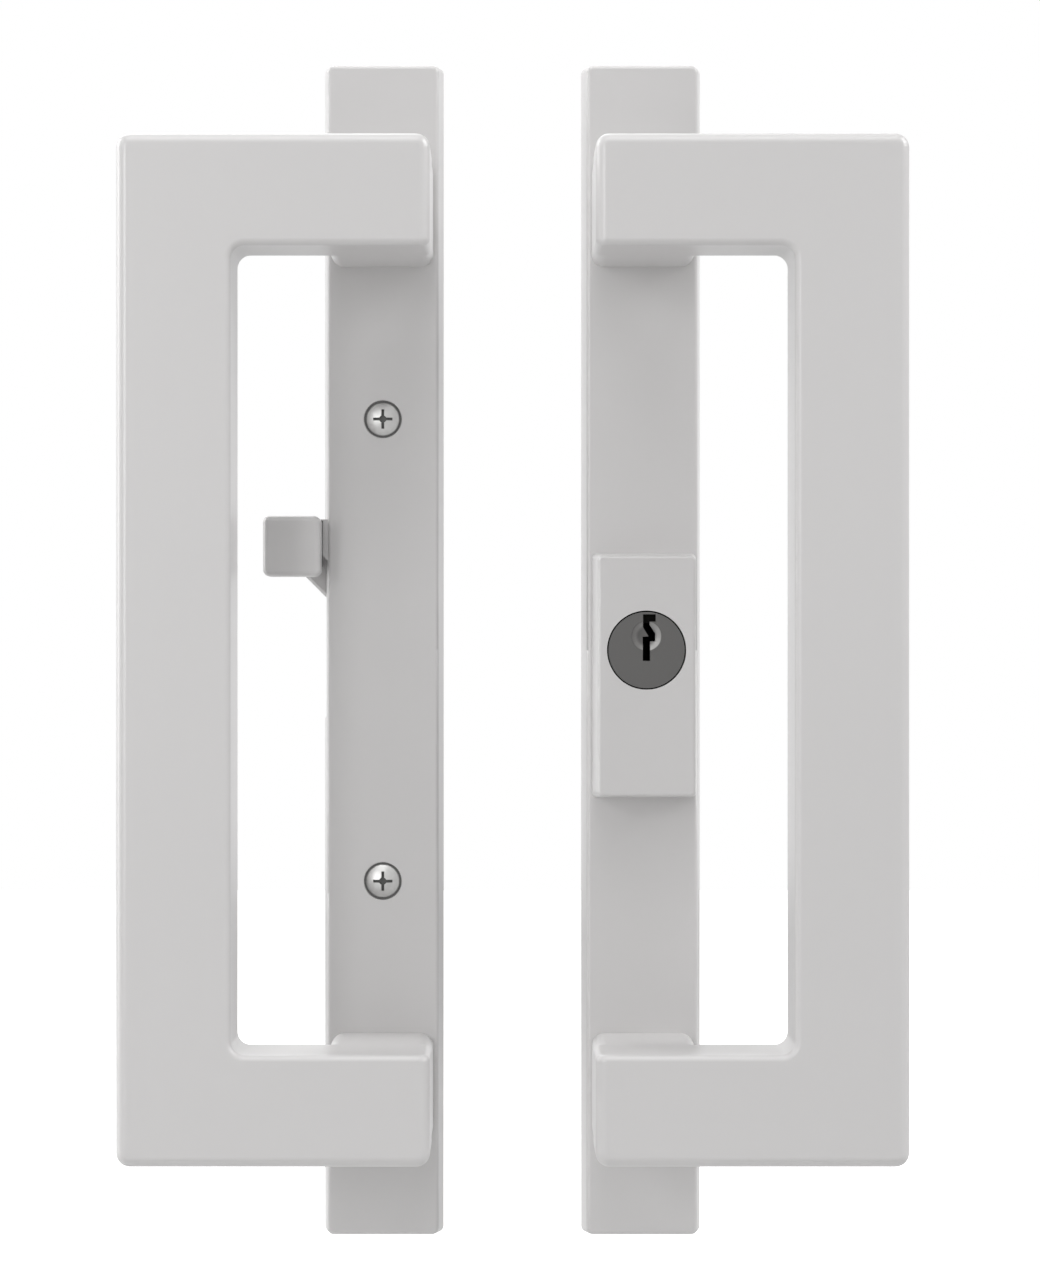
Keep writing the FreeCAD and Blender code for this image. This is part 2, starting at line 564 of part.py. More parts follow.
def cylinder_body():
    """The fixed brass body: round barrel, pin housing below, lug above and a nose through the plate."""
    barrel = rod(0, 0, CYLINDER_D, COVER_INNER_Y, PLATE_FRONT_Y)
    half = PIN_HOUSING_WIDTH / 2
    housing = box(-half, half, COVER_INNER_Y, PLATE_FRONT_Y, -PIN_HOUSING_DEPTH, 0)
    lug = box(-LUG_WIDTH / 2, LUG_WIDTH / 2, COVER_INNER_Y, PLATE_FRONT_Y, 0, LUG_TOP)
    nose = rod(0, 0, CYLINDER_NOSE_D, PLATE_FRONT_Y, -CYLINDER_NOSE_END)
    body = fused(barrel, [housing, lug, nose])
    cuts = [rod(0, 0, PLUG_D + 2 * RUNNING, COVER_INNER_Y, -CYLINDER_NOSE_END),
            chamber_strip(SEATED)]
    for y in PIN_PLACES:
        cuts.append(post(0, y, PIN_D + 2 * SEATED, -PIN_HOUSING_DEPTH, 0))
    return body.cut(cuts)


def chamber_strip(clearance=0):
    """The strip let into the pin housing's lower face, which closes the pin chambers."""
    half = STRIP_WIDTH / 2 + clearance
    top = STRIP_T - PIN_HOUSING_DEPTH
    return box(-half, half, COVER_INNER_Y, PLATE_FRONT_Y, -PIN_HOUSING_DEPTH, top)


def key_plug():
    """The plug that the key turns: round head, barrel, keyway, pin holes and a slot for its tail."""
    head = rod(0, 0, PLUG_HEAD_D, PLUG_FACE_Y, PLUG_SHOULDER_Y)
    plug = fused(head, [rod(0, 0, PLUG_D, PLUG_SHOULDER_Y, PLUG_REACH)])
    sphere_r = ((DISH_D / 2) ** 2 + DISH_DEPTH ** 2) / (2 * DISH_DEPTH)
    dish = Part.makeSphere(sphere_r, Vector(0, PLUG_FACE_Y + DISH_DEPTH - sphere_r, DISH_ABOVE))
    slot_y = PLUG_REACH - 2 * TAIL_PIN_D - TAIL_T
    cuts = [dish, keyway(), tail(SEATED, slot_y, PLUG_REACH), tail_pin(PLUG_D, SEATED, plug_pin_y()),
            ring(0, 0, PLUG_D, PLUG_D - 2 * CLIP_GROOVE, CLIP_FRONT_Y, CLIP_BACK_Y)]
    for y in PIN_PLACES:
        cuts.append(post(0, y, PIN_D + 2 * SEATED, -PLUG_R, 0))
    return plug.cut(cuts)


def keyway():
    """The crooked slot for the key, from the plug's face to its blind end."""
    section = [(-0.75, 7.6), (1.95, 7.6), (1.95, 6.05), (0.65, 6.05), (0.65, 5.4), (1.85, 3.6), (1.85, 1.85),
               (0.75, 1.85), (0.75, -2.3), (-0.8, -2.3), (-0.8, 2.9), (0.45, 2.9), (-0.75, 4.9)]
    return prism([(x, z, 0) for x, z in section], PLUG_FACE_Y, -KEYWAY_END)


def plug_pin_y():
    """The level of the cross pin in the plug's end."""
    return PLUG_REACH - TAIL_PIN_D


def key_pins():
    """The lower tumbler pins, which turn with the plug, standing at the shear line."""
    bottom = SHEAR_GAP - PLUG_R
    return Part.makeCompound([post(0, y, PIN_D, bottom, bottom + KEY_PIN_LENGTH) for y in PIN_PLACES])


def driver_pins():
    """The tumbler pins that stay in the cylinder's body."""
    top = -PLUG_R - SHEAR_GAP
    return Part.makeCompound([post(0, y, PIN_D, top - DRIVER_PIN_LENGTH, top) for y in PIN_PLACES])


def pin_springs():
    """The springs under the driver pins, drawn as sleeves of their outer and inner diameter."""
    top = -PLUG_R - SHEAR_GAP - DRIVER_PIN_LENGTH
    bottom = STRIP_T - PIN_HOUSING_DEPTH
    sleeves = []
    for y in PIN_PLACES:
        sleeves.append(post(0, y, PIN_D, bottom, top).cut(post(0, y, PIN_D - 2 * SPRING_WALL, bottom, top)))
    return Part.makeCompound(sleeves)


def plug_clip():
    """The open spring clip in the plug's groove, behind the cylinder's nose."""
    clip = ring(0, 0, CLIP_D, PLUG_D - 2 * CLIP_GROOVE, CLIP_FRONT_Y, CLIP_BACK_Y)
    return clip.cut(box(0, CLIP_D, CLIP_FRONT_Y, CLIP_BACK_Y, -CLIP_MOUTH / 2, CLIP_MOUTH / 2))


def plug_tailpiece():
    """The flat steel bar from the plug into the door."""
    slot_y = PLUG_REACH - 2 * TAIL_PIN_D - TAIL_T
    return tail(0, slot_y, TAIL_REACH).cut(tail_pin(PLUG_D, SEATED, plug_pin_y()))


def plug_tail_pin():
    """The pin that ties the plug's tail to its end."""
    return tail_pin(PLUG_D - 2 * FREE, 0, plug_pin_y())


def interior(shape):
    """A piece of the interior half, mirrored so that its grip lies to the left."""
    return shape.mirror(Vector(0, 0, 0), Vector(1, 0, 0))


def exterior(shape):
    """A piece of the exterior half, moved to its place beside the interior half."""
    return moved(shape, PLATE_SPACING, 0)


def lock(shape):
    """A piece on the key axis of the exterior half."""
    return moved(shape, PLATE_SPACING + LOCK_OFFSET, 0)


def main():
    pieces = {
        "interior_plate": interior(interior_plate()),
        "interior_grip": interior(grip()),
        "interior_grip_screws": interior(grip_screws()),
        "mounting_screws": interior(mounting_screws()),
        "thumb_lever": interior(thumb_lever()),
        "lever_bush": interior(lever_bush()),
        "lever_washer": interior(lever_washer()),
        "lever_retainer": interior(lever_retainer()),
        "lever_retainer_screws": interior(lever_retainer_screws()),
        "lever_tailpiece": interior(lever_tailpiece()),
        "lever_tail_pin": interior(lever_tail_pin()),
        "exterior_plate": exterior(exterior_plate()),
        "exterior_grip": exterior(grip()),
        "exterior_grip_screws": exterior(grip_screws()),
        "tapped_posts": exterior(tapped_posts()),
        "lock_cover": lock(lock_cover()),
        "lock_cover_screws": lock(lock_cover_screws()),
        "cylinder_body": lock(cylinder_body()),
        "key_plug": lock(key_plug()),
        "key_pins": lock(key_pins()),
        "driver_pins": lock(driver_pins()),
        "pin_springs": lock(pin_springs()),
        "chamber_strip": lock(chamber_strip()),
        "plug_clip": lock(plug_clip()),
        "plug_tailpiece": lock(plug_tailpiece()),
        "plug_tail_pin": lock(plug_tail_pin()),
    }
    os.makedirs("parts", exist_ok=True)
    for name, shape in pieces.items():
        shape.exportStep("parts/" + name + ".step")
        print(name, len(shape.Solids), shape.isValid(), round(shape.Volume, 2))


main()
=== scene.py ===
import json
import math

import bmesh
import bpy
from mathutils import Matrix, Vector

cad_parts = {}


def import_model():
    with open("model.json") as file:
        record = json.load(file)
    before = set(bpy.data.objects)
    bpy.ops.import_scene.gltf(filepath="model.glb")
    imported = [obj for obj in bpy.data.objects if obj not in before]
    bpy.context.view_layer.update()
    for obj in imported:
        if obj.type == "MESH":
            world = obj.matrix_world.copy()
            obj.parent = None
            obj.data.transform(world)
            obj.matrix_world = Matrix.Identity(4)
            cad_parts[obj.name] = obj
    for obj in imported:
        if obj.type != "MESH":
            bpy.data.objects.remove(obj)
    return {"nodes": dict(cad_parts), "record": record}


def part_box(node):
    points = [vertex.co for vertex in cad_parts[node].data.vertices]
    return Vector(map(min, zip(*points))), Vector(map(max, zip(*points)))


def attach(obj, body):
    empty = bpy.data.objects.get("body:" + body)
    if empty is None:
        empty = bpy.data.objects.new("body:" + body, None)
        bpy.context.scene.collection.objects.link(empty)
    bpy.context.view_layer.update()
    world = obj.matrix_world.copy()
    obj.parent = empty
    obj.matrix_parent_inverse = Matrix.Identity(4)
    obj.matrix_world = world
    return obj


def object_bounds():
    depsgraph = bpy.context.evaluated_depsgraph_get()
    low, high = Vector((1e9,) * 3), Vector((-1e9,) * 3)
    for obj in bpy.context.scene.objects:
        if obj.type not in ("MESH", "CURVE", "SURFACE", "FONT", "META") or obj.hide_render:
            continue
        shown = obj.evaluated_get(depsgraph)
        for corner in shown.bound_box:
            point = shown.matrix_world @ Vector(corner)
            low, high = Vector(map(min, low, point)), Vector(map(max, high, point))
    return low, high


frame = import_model()
CAD_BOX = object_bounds()
NODES = frame["nodes"]
MM = 0.001
WHITE = (1, 1, 1, 1)

# The photograph: its frame in pixels, the point straight ahead of the lens and the lens's length in pixels
PHOTO_WIDTH = 1040
PHOTO_HEIGHT = 1288
AHEAD_X = 508
AHEAD_Y = 650.1
LENS_PIXELS = 3700
SENSOR_MM = 36.0

# The camera stands in front of the grips, nearly midway between the two plates
CAMERA_X = 27.09 * MM
CAMERA_TO_GRIPS = 755 * MM
CAMERA_NEAREST = 10 * MM

FLOOR_BELOW = 120 * MM      # gap between the plates' lower ends and the floor
FLOOR_SIZE = 6.0
FLOOR_SHADE = 0.65
FLOOR_ROUGH = 0.9
FLOOR_CLEAR = 0.25          # from this distance the floor runs out
FLOOR_WHITE = 0.6           # and from this one it is plain white
FLOOR_GLOW = 0.25           # how much of that white shows in reflections

# Soft boxes round the handle set: name, place, width, height, watts
LAMPS = (
    ("left_box", (-1.31, 0.36, 0.8), 1.0, 1.0, 12.5),
    ("low_left_box", (-1.55, 0.1, 0.14), 0.6, 0.7, 4.8),
    ("side_left_box", (-1.03, -0.89, 0.8), 0.7, 0.7, 3.0),
    ("front_left_box", (-0.62, -1.45, 0.2), 0.32, 0.6, 4.8),
    ("front_box", (-0.2, -1.29, 0.92), 0.7, 0.7, 1.5),
    ("front_right_box", (0.3, -1.55, 0.28), 0.7, 0.7, 0.4),
    ("overhead_box", (-0.1, -0.74, 1.41), 0.9, 0.9, 7.0),
    ("top_box", (0.03, -0.2, 1.55), 0.9, 0.9, 1.5),
    ("right_box", (1.32, -0.23, 0.92), 1.0, 1.0, 17.5),
    ("back_box", (-0.3, 1.05, 1.2), 0.9, 0.9, 5.5),
)
AMBIENT = 0.15
SEEN_WHITE = 1.0

FINE_RELIEF = 0.01 * MM     # height of the finest unevenness of a finish

# The key plug: its axis, the front of its face and the depths between which painted shade turns the keyway
# black
KEY_AXIS_X = sum(corner.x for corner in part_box("plug_tailpiece")) / 2
PLUG_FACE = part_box("key_plug")[0].y
KEYWAY_DARK = PLUG_FACE + 1.0 * MM, PLUG_FACE + 2.2 * MM
PLUG_METAL = 0.55, 1.0      # how metallic the face and the keyway under its painted shade are

# The dish in the plug's face, with a painted highlight towards its rim: its middle, its radius, and the
# squares of the radii between which the painted highlight sets in and ends
DISH_Z = 3.0 * MM
DISH_R = 3.2 * MM
DISH_HIGHLIGHT = (1.6 * MM) ** 2, (2.5 * MM) ** 2
DISH_RIM = (3.0 * MM) ** 2, DISH_R ** 2
DISH_HIGHLIGHT_SIDES = 0.45, 0.85     # how strong the painted highlight is on its left and right sides

# Heads of the mounting screws: their heights on the plate, their top, dome and rim, and the painted shade in
# the cross recesses, by the squares of the radii where it ends and by its depths under the dome
SCREW_Z = 50 * MM
SCREW_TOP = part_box("mounting_screws")[0].y
SCREW_DOME = 1.0 * MM
SCREW_RIM = 3.8 * MM
RECESS_REACH = (2.1 * MM) ** 2, (2.3 * MM) ** 2
RECESS_DARK = 0.1 * MM, 0.4 * MM

# Threads of the mounting screws, from a depth behind the door face to just short of the tips
THREAD_START = 6 * MM
THREAD_SHORT = 1.0 * MM
THREAD_ROOT = 2.35 * MM
THREAD_CREST = 2.62 * MM
THREAD_PITCH = 0.8 * MM
THREAD_HALF = 0.38          # half the ridge's width at its root, as a share of the pitch
THREAD_FLAT = 0.8, 1.2      # where its flat crest starts and ends, in such halves
THREAD_STEPS = 24
RING_STEPS = 48

# Dark rings round the screw heads, a painted shadow in the gaps at the countersinks: their radii, and their
# front and back behind the plate's front
SHADOW_RING_INNER = 3.66 * MM
SHADOW_RING_OUTER = 4.06 * MM
SHADOW_RING_FRONT = 0.1 * MM
SHADOW_RING_BACK = 0.5 * MM

# Opposite corners of the dark strip on the stop pad, a painted shadow beside the lever's knob, and the
# rounding of its edges
STOP_SHADOW_STRIP = Vector((-13.8, -10.05, 18.0)) * MM, Vector((-13.02, -9.6, 28.0)) * MM
SHADOW_STRIP_EDGE = 0.06 * MM

# Ejector pin marks on the hollow backs of the plates
PLATE_WALL = 2.4 * MM
EJECTOR_D = 5.0 * MM
EJECTOR_T = 0.25 * MM
EJECTOR_EDGE = 0.12 * MM
EJECTOR_Z = tuple(height * MM for height in (-113, -82, -61, 61, 82, 113))
SAME_LEVEL = 0.001 * MM


def new_material(name, metal=0.0):
    """A node material, its node tree and its shader."""
    material = bpy.data.materials.new(name)
    material.use_nodes = True
    shader = material.node_tree.nodes["Principled BSDF"]
    shader.inputs["Metallic"].default_value = metal
    return material, material.node_tree, shader


def coordinates(tree):
    """The object's own X, Y and Z as three sockets."""
    place = tree.nodes.new("ShaderNodeTexCoord")
    split = tree.nodes.new("ShaderNodeSeparateXYZ")
    tree.links.new(place.outputs["Object"], split.inputs["Vector"])
    return split.outputs["X"], split.outputs["Y"], split.outputs["Z"]


def noise(tree, scale, detail):
    """Noise on the object's own coordinates."""
    place = tree.nodes.new("ShaderNodeTexCoord")
    texture = tree.nodes.new("ShaderNodeTexNoise")
    texture.inputs["Scale"].default_value = scale
    texture.inputs["Detail"].default_value = detail
    tree.links.new(place.outputs["Object"], texture.inputs["Vector"])
    return texture.outputs["Fac"]


def lathe_rings(tree, axis_x, scale):
    """Fine turning marks round an axis along Y."""
    place = tree.nodes.new("ShaderNodeTexCoord")
    shift = tree.nodes.new("ShaderNodeMapping")
    shift.inputs["Location"].default_value = (-axis_x, 0, 0)
    rings = tree.nodes.new("ShaderNodeTexWave")
    rings.wave_type = "RINGS"
    rings.rings_direction = "Y"
    rings.inputs["Scale"].default_value = scale
    rings.inputs["Distortion"].default_value = 0.6
    rings.inputs["Detail"].default_value = 2.0
    tree.links.new(place.outputs["Object"], shift.inputs["Vector"])
    tree.links.new(shift.outputs["Vector"], rings.inputs["Vector"])
    return rings.outputs["Fac"]


def between(tree, factor, low, high):
    """A colour that runs from one shade to another with a texture."""
    ramp = tree.nodes.new("ShaderNodeValToRGB")
    for stop, position, shade in zip(ramp.color_ramp.elements, (0.3, 0.7), (low, high)):
        stop.position = position
        stop.color = (*shade, 1)
    tree.links.new(factor, ramp.inputs["Fac"])
    return ramp.outputs["Color"]


def covered(tree, colour, mask, shade):
    """A colour that gives way to another shade where the mask is one."""
    mix = tree.nodes.new("ShaderNodeMix")
    mix.data_type = "RGBA"
    tree.links.new(mask, mix.inputs["Factor"])
    tree.links.new(colour, mix.inputs["A"])
    mix.inputs["B"].default_value = (*shade, 1)
    return mix.outputs["Result"]


def spread(tree, factor, low, high):
    """A number that runs from low to high with a texture or a mask."""
    reach = tree.nodes.new("ShaderNodeMapRange")
    reach.inputs["To Min"].default_value = low
    reach.inputs["To Max"].default_value = high
    tree.links.new(factor, reach.inputs["Value"])
    return reach.outputs["Result"]


def arithmetic(tree, operation, first, second=0.0):
    """One step of arithmetic on one or two numbers, each a socket or a plain value."""
    step = tree.nodes.new("ShaderNodeMath")
    step.operation = operation
    for socket, value in zip(step.inputs, (first, second)):
        if isinstance(value, bpy.types.NodeSocket):
            tree.links.new(value, socket)
        else:
            socket.default_value = value
    return step.outputs["Value"]


def distance_squared(tree, across, up):
    """The square of a point's distance from an axis, from its offsets across and up."""
    return arithmetic(tree, "ADD", arithmetic(tree, "MULTIPLY", across, across),
                      arithmetic(tree, "MULTIPLY", up, up))


def rise(tree, value, start, end):
    """Nought below start, one above end and a soft step between."""
    step = tree.nodes.new("ShaderNodeMapRange")
    step.interpolation_type = "SMOOTHSTEP"
    step.inputs["From Min"].default_value = start
    step.inputs["From Max"].default_value = end
    tree.links.new(value, step.inputs["Value"])
    return step.outputs["Result"]


def fall(tree, value, start, end):
    """One below start, nought above end and a soft step between."""
    return rise(tree, arithmetic(tree, "MULTIPLY", value, -1.0), -end, -start)


def uneven_gloss(tree, shader, factor, low, high):
    """Roughness that runs from low to high with a texture."""
    tree.links.new(spread(tree, factor, low, high), shader.inputs["Roughness"])


def bumped(tree, shader, height, strength, distance=FINE_RELIEF):
    """A fine relief on the shader's normal."""
    bump = tree.nodes.new("ShaderNodeBump")
    bump.inputs["Strength"].default_value = strength
    bump.inputs["Distance"].default_value = distance
    tree.links.new(height, bump.inputs["Height"])
    tree.links.new(bump.outputs["Normal"], shader.inputs["Normal"])


def light_grey_paint():
    """Light grey powder coat: very faint mottling, a fine orange peel and a soft gloss."""
    material, tree, shader = new_material("light_grey_paint")
    shader.inputs["Specular IOR Level"].default_value = 0.7
    mottle = between(tree, noise(tree, 14, 1), (0.584, 0.575, 0.573), (0.59, 0.581, 0.579))
    tree.links.new(mottle, shader.inputs["Base Color"])
    uneven_gloss(tree, shader, noise(tree, 400, 2), 0.285, 0.315)
    bumped(tree, shader, noise(tree, 900, 0), 0.02)
    return material


def plated(name, low, high, rough, scale):
    """Plated or machined metal with uneven gloss."""
    material, tree, shader = new_material(name, 1.0)
    grain = noise(tree, scale, 4)
    tree.links.new(between(tree, grain, low, high), shader.inputs["Base Color"])
    uneven_gloss(tree, shader, grain, rough - 0.08, rough + 0.1)
    bumped(tree, shader, noise(tree, 4 * scale, 2), 0.05)
    return material


def screw_head_finish():
    """Pale plating on the mounting screws, with painted shade darkening the cross recesses."""
    material, tree, shader = new_material("screw_head_finish", 1.0)
    grain = noise(tree, 700, 3)
    plating = between(tree, grain, (0.44, 0.437, 0.43), (0.5, 0.497, 0.49))
    x, y, z = coordinates(tree)
    up = arithmetic(tree, "SUBTRACT", arithmetic(tree, "ABSOLUTE", z), SCREW_Z)
    square = distance_squared(tree, x, up)
    dome = arithmetic(tree, "MULTIPLY", square, SCREW_DOME / SCREW_RIM ** 2)
    depth = arithmetic(tree, "SUBTRACT", arithmetic(tree, "SUBTRACT", y, SCREW_TOP), dome)
    # painted shade: darker with depth under the dome, inside the recess radius
    recess_shade = arithmetic(tree, "MULTIPLY", rise(tree, depth, *RECESS_DARK),
                         fall(tree, square, *RECESS_REACH))
    tree.links.new(covered(tree, plating, recess_shade, (0.08, 0.08, 0.078)), shader.inputs["Base Color"])
    uneven_gloss(tree, shader, grain, 0.34, 0.46)
    bumped(tree, shader, noise(tree, 2800, 2), 0.05)
    return material


def dark_plug_finish():
    """Dark satin plating on the key plug's turned face, with a painted highlight in its dish and painted
    shade turning the keyway black.
    """
    material, tree, shader = new_material("dark_plug_finish")
    rings = lathe_rings(tree, KEY_AXIS_X, 1500)
    face = between(tree, rings, (0.098, 0.096, 0.094), (0.112, 0.11, 0.108))
    x, y, z = coordinates(tree)
    across = arithmetic(tree, "SUBTRACT", x, KEY_AXIS_X)
    square = distance_squared(tree, across, arithmetic(tree, "SUBTRACT", z, DISH_Z))
    # painted highlight: a pale ring towards the dish's rim, stronger on its right side
    dish_highlight = arithmetic(tree, "MULTIPLY", rise(tree, square, *DISH_HIGHLIGHT), fall(tree, square, *DISH_RIM))
    highlight_sides = spread(tree, rise(tree, across, -DISH_R, DISH_R), *DISH_HIGHLIGHT_SIDES)
    face = covered(tree, face, arithmetic(tree, "MULTIPLY", dish_highlight, highlight_sides), (0.3, 0.295, 0.29))
    # painted shade: the keyway turns black and loses its reflection with depth behind the face
    keyway_shade = rise(tree, y, *KEYWAY_DARK)
    tree.links.new(covered(tree, face, keyway_shade, (0.003, 0.003, 0.003)), shader.inputs["Base Color"])
    tree.links.new(spread(tree, keyway_shade, *PLUG_METAL), shader.inputs["Metallic"])
    uneven_gloss(tree, shader, noise(tree, 700, 3), 0.32, 0.44)
    bumped(tree, shader, rings, 0.06)
    return material


def blackened_brass_and_shade():
    """Dark oxide on the cylinder, darkened to near black as painted shade where it shows round the plug and
    through the keyway.
    """
    material, tree, shader = new_material("blackened_brass_and_shade", 1.0)
    grain = noise(tree, 600, 3)
    # dark oxide, made near black as painted shade in the keyway and the gap round the plug
    oxide_and_shade = between(tree, grain, (0.004, 0.004, 0.004), (0.008, 0.008, 0.007))
    tree.links.new(oxide_and_shade, shader.inputs["Base Color"])
    uneven_gloss(tree, shader, grain, 0.42, 0.6)
    return material


def dark_shadow_paint():
    """Dark grey of the rings round the screw heads and of the stop pad's strip, a painted shadow in the gaps
    there.
    """
    material, tree, shader = new_material("dark_shadow_paint")
    grain = noise(tree, 2500, 2)
    # painted shadow: a dark grey that stands for the shade in narrow gaps
    shadow_paint = between(tree, grain, (0.075, 0.074, 0.073), (0.095, 0.094, 0.092))
    tree.links.new(shadow_paint, shader.inputs["Base Color"])
    uneven_gloss(tree, shader, grain, 0.52, 0.7)
    bumped(tree, shader, grain, 0.2, 2 * FINE_RELIEF)
    return material


def nylon_finish():
    """Natural nylon, a little uneven in shade and gloss."""
    material, tree, shader = new_material("nylon_finish")
    grain = noise(tree, 300, 2)
    nylon = between(tree, grain, (0.72, 0.71, 0.66), (0.8, 0.79, 0.75))
    tree.links.new(nylon, shader.inputs["Base Color"])
    uneven_gloss(tree, shader, grain, 0.42, 0.58)
    return material


def make_finishes():
    """One finish for each material slot of the record."""
    return {
        "painted_casting": light_grey_paint(),
        "screw_finish": screw_head_finish(),
        "plated_steel": plated("plated_steel", (0.5, 0.51, 0.52), (0.6, 0.61, 0.62), 0.32, 500),
        "dark_plug": dark_plug_finish(),
        "brass": plated("machined_brass", (0.62, 0.46, 0.2), (0.74, 0.56, 0.28), 0.3, 500),
        "nylon": nylon_finish(),
    }


def finish_nodes(finishes):
    """Every CAD piece gets the finish of its material slot, and the cylinder its own dark one."""
    own = {"cylinder_body": blackened_brass_and_shade()}
    for part in frame["record"]["subparts"]:
        mesh = NODES[part["node"]].data
        mesh.materials.clear()
        mesh.materials.append(own.get(part["node"], finishes[part["material_slot"]]))


def add_piece(name, builder, body, finish):
    """A finished piece whose faces point outwards, riding on its body."""
    mesh = bpy.data.meshes.new(name)
    bmesh.ops.recalc_face_normals(builder, faces=builder.faces)
    builder.to_mesh(mesh)
    builder.free()
    mesh.materials.append(finish)
    piece = bpy.data.objects.new(name, mesh)
    bpy.context.scene.collection.objects.link(piece)
    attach(piece, body)


def screw_thread(name, z, finish):
    """A helical ridge round a mounting screw's shank, spun from its section and capped at both ends."""
    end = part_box("mounting_screws")[1].y - THREAD_SHORT
    turns = int((end - THREAD_START) / THREAD_PITCH)
    half = THREAD_PITCH * THREAD_HALF
    rising, falling = THREAD_FLAT
    corners = ((THREAD_ROOT, 0), (THREAD_CREST, rising), (THREAD_CREST, falling), (THREAD_ROOT, 2))
    builder = bmesh.new()
    section = [builder.verts.new((r, THREAD_START + along * half, z)) for r, along in corners]
    edges = list(builder.faces.new(section).edges)
    swept = bmesh.ops.spin(builder, geom=section + edges, cent=(0, 0, z), axis=(0, 1, 0),
                           dvec=(0, THREAD_PITCH / THREAD_STEPS, 0), angle=turns * math.tau,
                           steps=turns * THREAD_STEPS, use_merge=False)
    last = [item for item in swept["geom_last"] if isinstance(item, bmesh.types.BMEdge)]
    bmesh.ops.contextual_create(builder, geom=last)
    add_piece(name, builder, "fixed_parts", finish)


def screw_shadow_ring(name, z, shadow_paint):
    """The thin dark ring round a mounting screw's head, a painted shadow in its countersink gap, turned from
    its section.
    """
    plate_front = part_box("interior_plate")[0].y
    front, back = plate_front + SHADOW_RING_FRONT, plate_front + SHADOW_RING_BACK
    corners = ((SHADOW_RING_INNER, front), (SHADOW_RING_OUTER, front), (SHADOW_RING_OUTER, back), (SHADOW_RING_INNER, back))
    builder = bmesh.new()
    section = builder.faces.new([builder.verts.new((r, y, z)) for r, y in corners])
    turned = list(section.verts) + list(section.edges)
    builder.faces.remove(section)
    bmesh.ops.spin(builder, geom=turned, cent=(0, 0, z), axis=(0, 1, 0), angle=math.tau,
                   steps=RING_STEPS, use_merge=True)
    add_piece(name, builder, "fixed_parts", shadow_paint)


def stop_shadow_strip(shadow_paint):
    """The thin dark strip on the stop pad's front, behind the lever's knob, a painted shadow in the gap
    beside it.
    """
    low, high = STOP_SHADOW_STRIP
    builder = bmesh.new()
    bmesh.ops.create_cube(builder, size=1.0,
                          matrix=Matrix.Translation((low + high) / 2) @ Matrix.Diagonal((*(high - low), 1)))
    bmesh.ops.bevel(builder, geom=builder.edges[:], offset=SHADOW_STRIP_EDGE, offset_type="OFFSET", segments=2,
                    profile=0.5, affect="EDGES", material=-1)
    add_piece("stop_shadow_strip", builder, "fixed_parts", shadow_paint)


def ejector_marks(name, node, paint):
    """Round pads left by the mould's ejector pins, on the floor of a plate's hollow back."""
    low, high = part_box(node)
    middle = (low.x + high.x) / 2
    hollow = low.y + PLATE_WALL
    builder = bmesh.new()
    for z in EJECTOR_Z:
        pad = bmesh.ops.create_cone(builder, cap_ends=True, segments=RING_STEPS, radius1=EJECTOR_D / 2,
                                    radius2=EJECTOR_D / 2, depth=EJECTOR_T,
                                    matrix=Matrix.Translation((middle, hollow + EJECTOR_T / 2, z))
                                    @ Matrix.Rotation(math.radians(-90), 4, "X"))
        rims = {edge for vert in pad["verts"] for edge in vert.link_edges
                if all(abs(end.co.y - hollow - EJECTOR_T) < SAME_LEVEL for end in edge.verts)}
        bmesh.ops.bevel(builder, geom=list(rims), offset=EJECTOR_EDGE, offset_type="OFFSET", segments=2,
                        profile=0.5, affect="EDGES", material=-1)
    add_piece(name, builder, "fixed_parts", paint)


def camera():
    """The photograph's straight view of both halves."""
    data = bpy.data.cameras.new("photo_camera")
    data.sensor_width = SENSOR_MM
    data.lens = LENS_PIXELS / PHOTO_HEIGHT * SENSOR_MM
    data.shift_x = (PHOTO_WIDTH / 2 - AHEAD_X) / PHOTO_HEIGHT
    data.shift_y = (AHEAD_Y - PHOTO_HEIGHT / 2) / PHOTO_HEIGHT
    data.clip_start = CAMERA_NEAREST
    view = bpy.data.objects.new("photo_camera", data)
    grips_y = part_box("interior_grip")[0].y
    view.location = (CAMERA_X, grips_y - CAMERA_TO_GRIPS, 0)
    view.rotation_euler = (math.radians(90), 0, 0)
    bpy.context.scene.collection.objects.link(view)
    bpy.context.scene.camera = view


def softbox(name, place, width, height, watts):
    """A flat lamp that faces the middle of the handle set, and stays out of the picture itself."""
    data = bpy.data.lights.new(name, "AREA")
    data.shape = "RECTANGLE"
    data.size = width
    data.size_y = height
    data.energy = watts
    lamp = bpy.data.objects.new(name, data)
    lamp.location = place
    lamp.visible_camera = False
    middle = Vector(((CAD_BOX[0][0] + CAD_BOX[1][0]) / 2, 0, 0))
    lamp.rotation_euler = (middle - Vector(place)).to_track_quat("-Z", "Y").to_euler()
    bpy.context.scene.collection.objects.link(lamp)


def seen_directly(tree):
    """Two switches: one for rays from the camera, one for those and for rays in reflections or glass."""
    rays = tree.nodes.new("ShaderNodeLightPath").outputs
    by_camera = rays["Is Camera Ray"]
    mirrored = arithmetic(tree, "MAXIMUM", by_camera, rays["Is Glossy Ray"])
    return by_camera, arithmetic(tree, "MAXIMUM", mirrored, rays["Is Transmission Ray"])


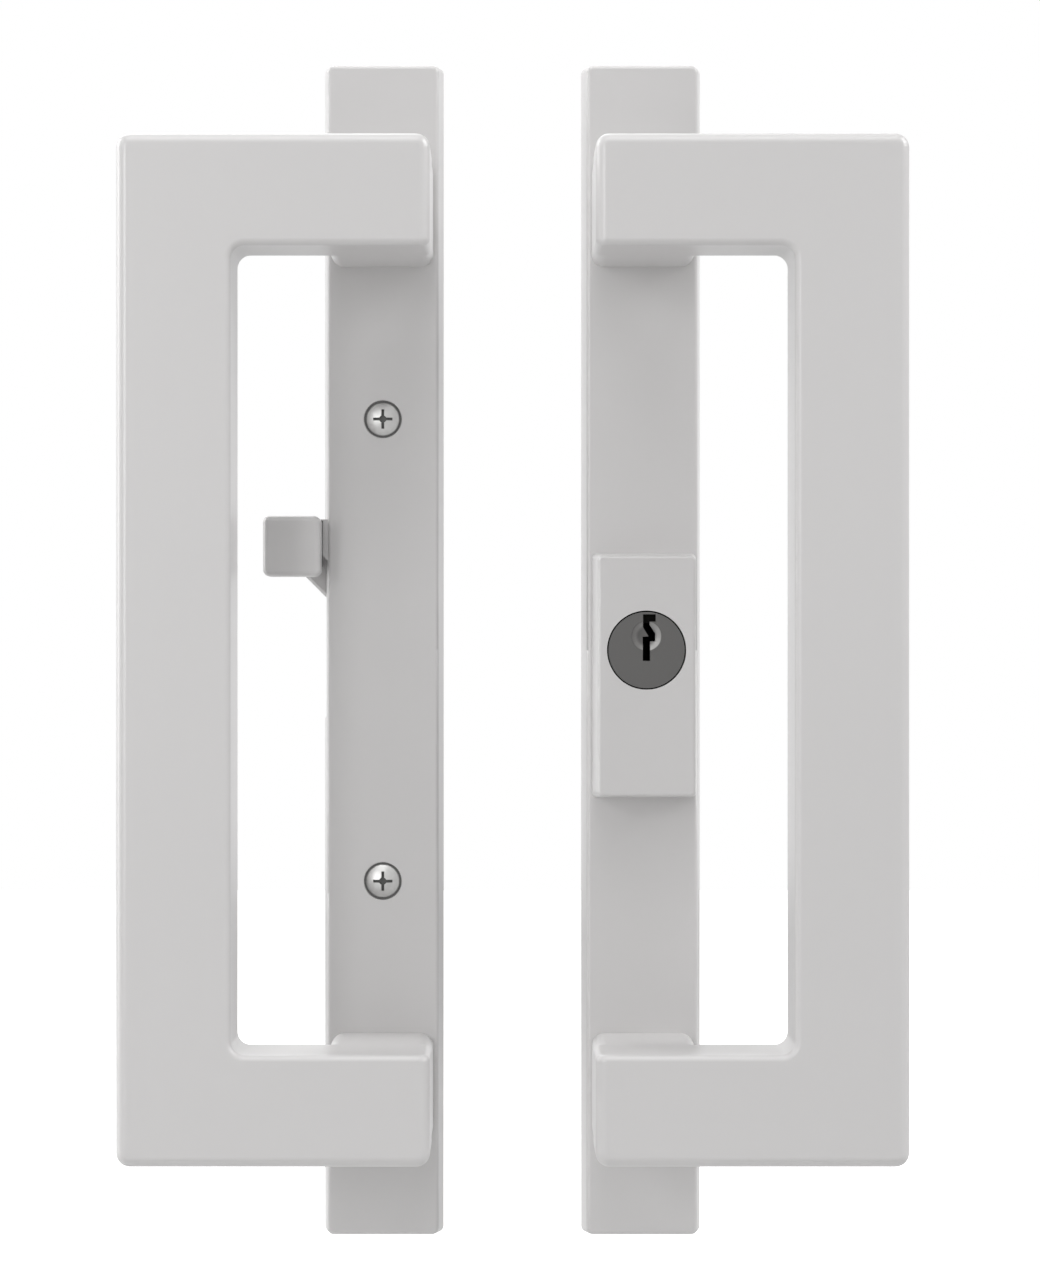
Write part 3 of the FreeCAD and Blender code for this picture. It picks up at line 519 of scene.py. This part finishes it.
def world():
    """Even pale surroundings, seen as white by the camera and in reflections."""
    surroundings = bpy.data.worlds.new("studio")
    bpy.context.scene.world = surroundings
    surroundings.use_nodes = True
    tree = surroundings.node_tree
    tree.nodes.clear()
    out = tree.nodes.new("ShaderNodeOutputWorld")
    mix = tree.nodes.new("ShaderNodeMixShader")
    tree.links.new(seen_directly(tree)[1], mix.inputs["Fac"])
    for socket, strength in zip(mix.inputs[1:], (AMBIENT, SEEN_WHITE)):
        shade = tree.nodes.new("ShaderNodeBackground")
        shade.inputs["Color"].default_value = WHITE
        shade.inputs["Strength"].default_value = strength
        tree.links.new(shade.outputs["Background"], socket)
    tree.links.new(mix.outputs["Shader"], out.inputs["Surface"])


def pale_floor():
    """Matt pale floor, which runs out into plain white away from the handle set."""
    material, tree, shader = new_material("pale_floor")
    shader.inputs["Roughness"].default_value = FLOOR_ROUGH
    shader.inputs["Base Color"].default_value = (FLOOR_SHADE, FLOOR_SHADE, FLOOR_SHADE, 1)
    shader.inputs["Emission Color"].default_value = WHITE
    x, y, _ = coordinates(tree)
    square = distance_squared(tree, arithmetic(tree, "SUBTRACT", x, CAMERA_X), y)
    far_off = rise(tree, arithmetic(tree, "SQRT", square), FLOOR_CLEAR, FLOOR_WHITE)
    by_camera, directly = seen_directly(tree)
    glow = arithmetic(tree, "MAXIMUM", by_camera, arithmetic(tree, "MULTIPLY", directly, FLOOR_GLOW))
    tree.links.new(arithmetic(tree, "MULTIPLY", far_off, glow), shader.inputs["Emission Strength"])
    return material


def floor():
    """A plain pale floor below the handle set, which keeps its shadow."""
    builder = bmesh.new()
    bmesh.ops.create_grid(builder, x_segments=1, y_segments=1, size=FLOOR_SIZE / 2,
                          matrix=Matrix.Translation((0, 0, CAD_BOX[0][2] - FLOOR_BELOW)))
    mesh = bpy.data.meshes.new("floor")
    builder.to_mesh(mesh)
    builder.free()
    mesh.materials.append(pale_floor())
    ground = bpy.data.objects.new("floor", mesh)
    bpy.context.scene.collection.objects.link(ground)


finishes = make_finishes()
finish_nodes(finishes)
# painted shadow: the dark grey of the screw rings and the stop pad's strip
shadow_paint = dark_shadow_paint()
# painted shadow: dark rings round the screw heads
for screw, height in (("upper_screw", SCREW_Z), ("lower_screw", -SCREW_Z)):
    screw_thread(screw + "_thread", height, finishes["screw_finish"])
    screw_shadow_ring(screw + "_shadow_ring", height, shadow_paint)
# painted shadow: the dark strip beside the lever's knob
stop_shadow_strip(shadow_paint)
ejector_marks("interior_ejector_marks", "interior_plate", finishes["painted_casting"])
ejector_marks("exterior_ejector_marks", "exterior_plate", finishes["painted_casting"])
camera()
for lamp in LAMPS:
    softbox(*lamp)
world()
floor()
bpy.context.scene.view_settings.view_transform = "Standard"
